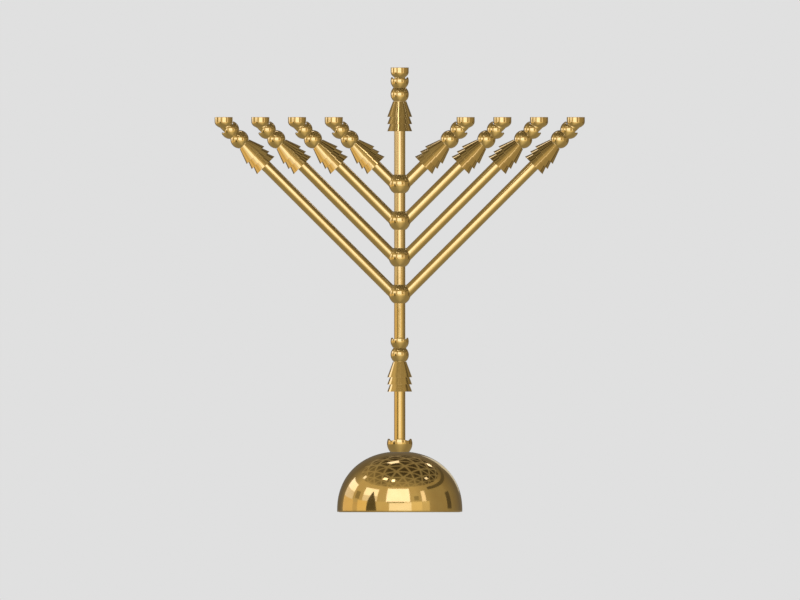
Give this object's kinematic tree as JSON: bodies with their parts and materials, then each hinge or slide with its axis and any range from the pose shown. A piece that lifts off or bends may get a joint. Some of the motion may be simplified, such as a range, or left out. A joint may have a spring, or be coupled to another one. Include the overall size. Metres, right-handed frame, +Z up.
{
  "type": "menorah",
  "caption": "Polished brass menorah with a weighted dome base, a straight stem and swivelling pairs of slanted branches, each carrying goblets, a knop and a flower below a candle cup.",
  "frame": {"origin": "middle of the felt pad's underside, on the surface that the part stands on", "axes": "+Z up along the stem, X along the row of candle cups, Y towards the back"},
  "size_m": [0.4192, 0.1418, 0.5034],
  "materials": {
    "polished_brass": "polished",
    "cast_iron": "as cast",
    "zinc_steel": "zinc plated",
    "green_felt": "felt"
  },
  "bodies": {
    "stand": {"dome_shell": "polished_brass", "base_weight": "cast_iron", "felt_pad": "green_felt", "base_washer": "zinc_steel", "base_nut": "zinc_steel", "base_flower": "polished_brass", "tie_rod": "zinc_steel", "stem_tube_lower": "polished_brass", "stem_spacer_1": "polished_brass", "stem_spacer_2": "polished_brass", "stem_spacer_3": "polished_brass", "stem_tube_upper": "polished_brass", "lower_goblets": "polished_brass", "lower_knop_flower": "polished_brass", "helper_goblets": "polished_brass", "helper_knop_flower": "polished_brass", "helper_cup": "polished_brass"},
    "arm_pair_1": {"arm_1_ball": "polished_brass", "arm_1_right_tube": "polished_brass", "arm_1_right_goblets": "polished_brass", "arm_1_right_knop_flower": "polished_brass", "arm_1_right_cup": "polished_brass", "arm_1_left_tube": "polished_brass", "arm_1_left_goblets": "polished_brass", "arm_1_left_knop_flower": "polished_brass", "arm_1_left_cup": "polished_brass"},
    "arm_pair_2": {"arm_2_ball": "polished_brass", "arm_2_right_tube": "polished_brass", "arm_2_right_goblets": "polished_brass", "arm_2_right_knop_flower": "polished_brass", "arm_2_right_cup": "polished_brass", "arm_2_left_tube": "polished_brass", "arm_2_left_goblets": "polished_brass", "arm_2_left_knop_flower": "polished_brass", "arm_2_left_cup": "polished_brass"},
    "arm_pair_3": {"arm_3_ball": "polished_brass", "arm_3_right_tube": "polished_brass", "arm_3_right_goblets": "polished_brass", "arm_3_right_knop_flower": "polished_brass", "arm_3_right_cup": "polished_brass", "arm_3_left_tube": "polished_brass", "arm_3_left_goblets": "polished_brass", "arm_3_left_knop_flower": "polished_brass", "arm_3_left_cup": "polished_brass"},
    "arm_pair_4": {"arm_4_ball": "polished_brass", "arm_4_right_tube": "polished_brass", "arm_4_right_goblets": "polished_brass", "arm_4_right_knop_flower": "polished_brass", "arm_4_right_cup": "polished_brass", "arm_4_left_tube": "polished_brass", "arm_4_left_goblets": "polished_brass", "arm_4_left_knop_flower": "polished_brass", "arm_4_left_cup": "polished_brass"}
  },
  "joints": [
    {"name": "arm_pair_1_swivel", "type": "hinge", "parent": "stand", "child": "arm_pair_1", "pos_m": [0, 0, 0.24701], "axis": [0, 0, 1], "continuous": true},
    {"name": "arm_pair_2_swivel", "type": "hinge", "parent": "stand", "child": "arm_pair_2", "pos_m": [0, 0, 0.28857], "axis": [0, 0, 1], "continuous": true},
    {"name": "arm_pair_3_swivel", "type": "hinge", "parent": "stand", "child": "arm_pair_3", "pos_m": [0, 0, 0.33013], "axis": [0, 0, 1], "continuous": true},
    {"name": "arm_pair_4_swivel", "type": "hinge", "parent": "stand", "child": "arm_pair_4", "pos_m": [0, 0, 0.37169], "axis": [0, 0, 1], "continuous": true}
  ]
}
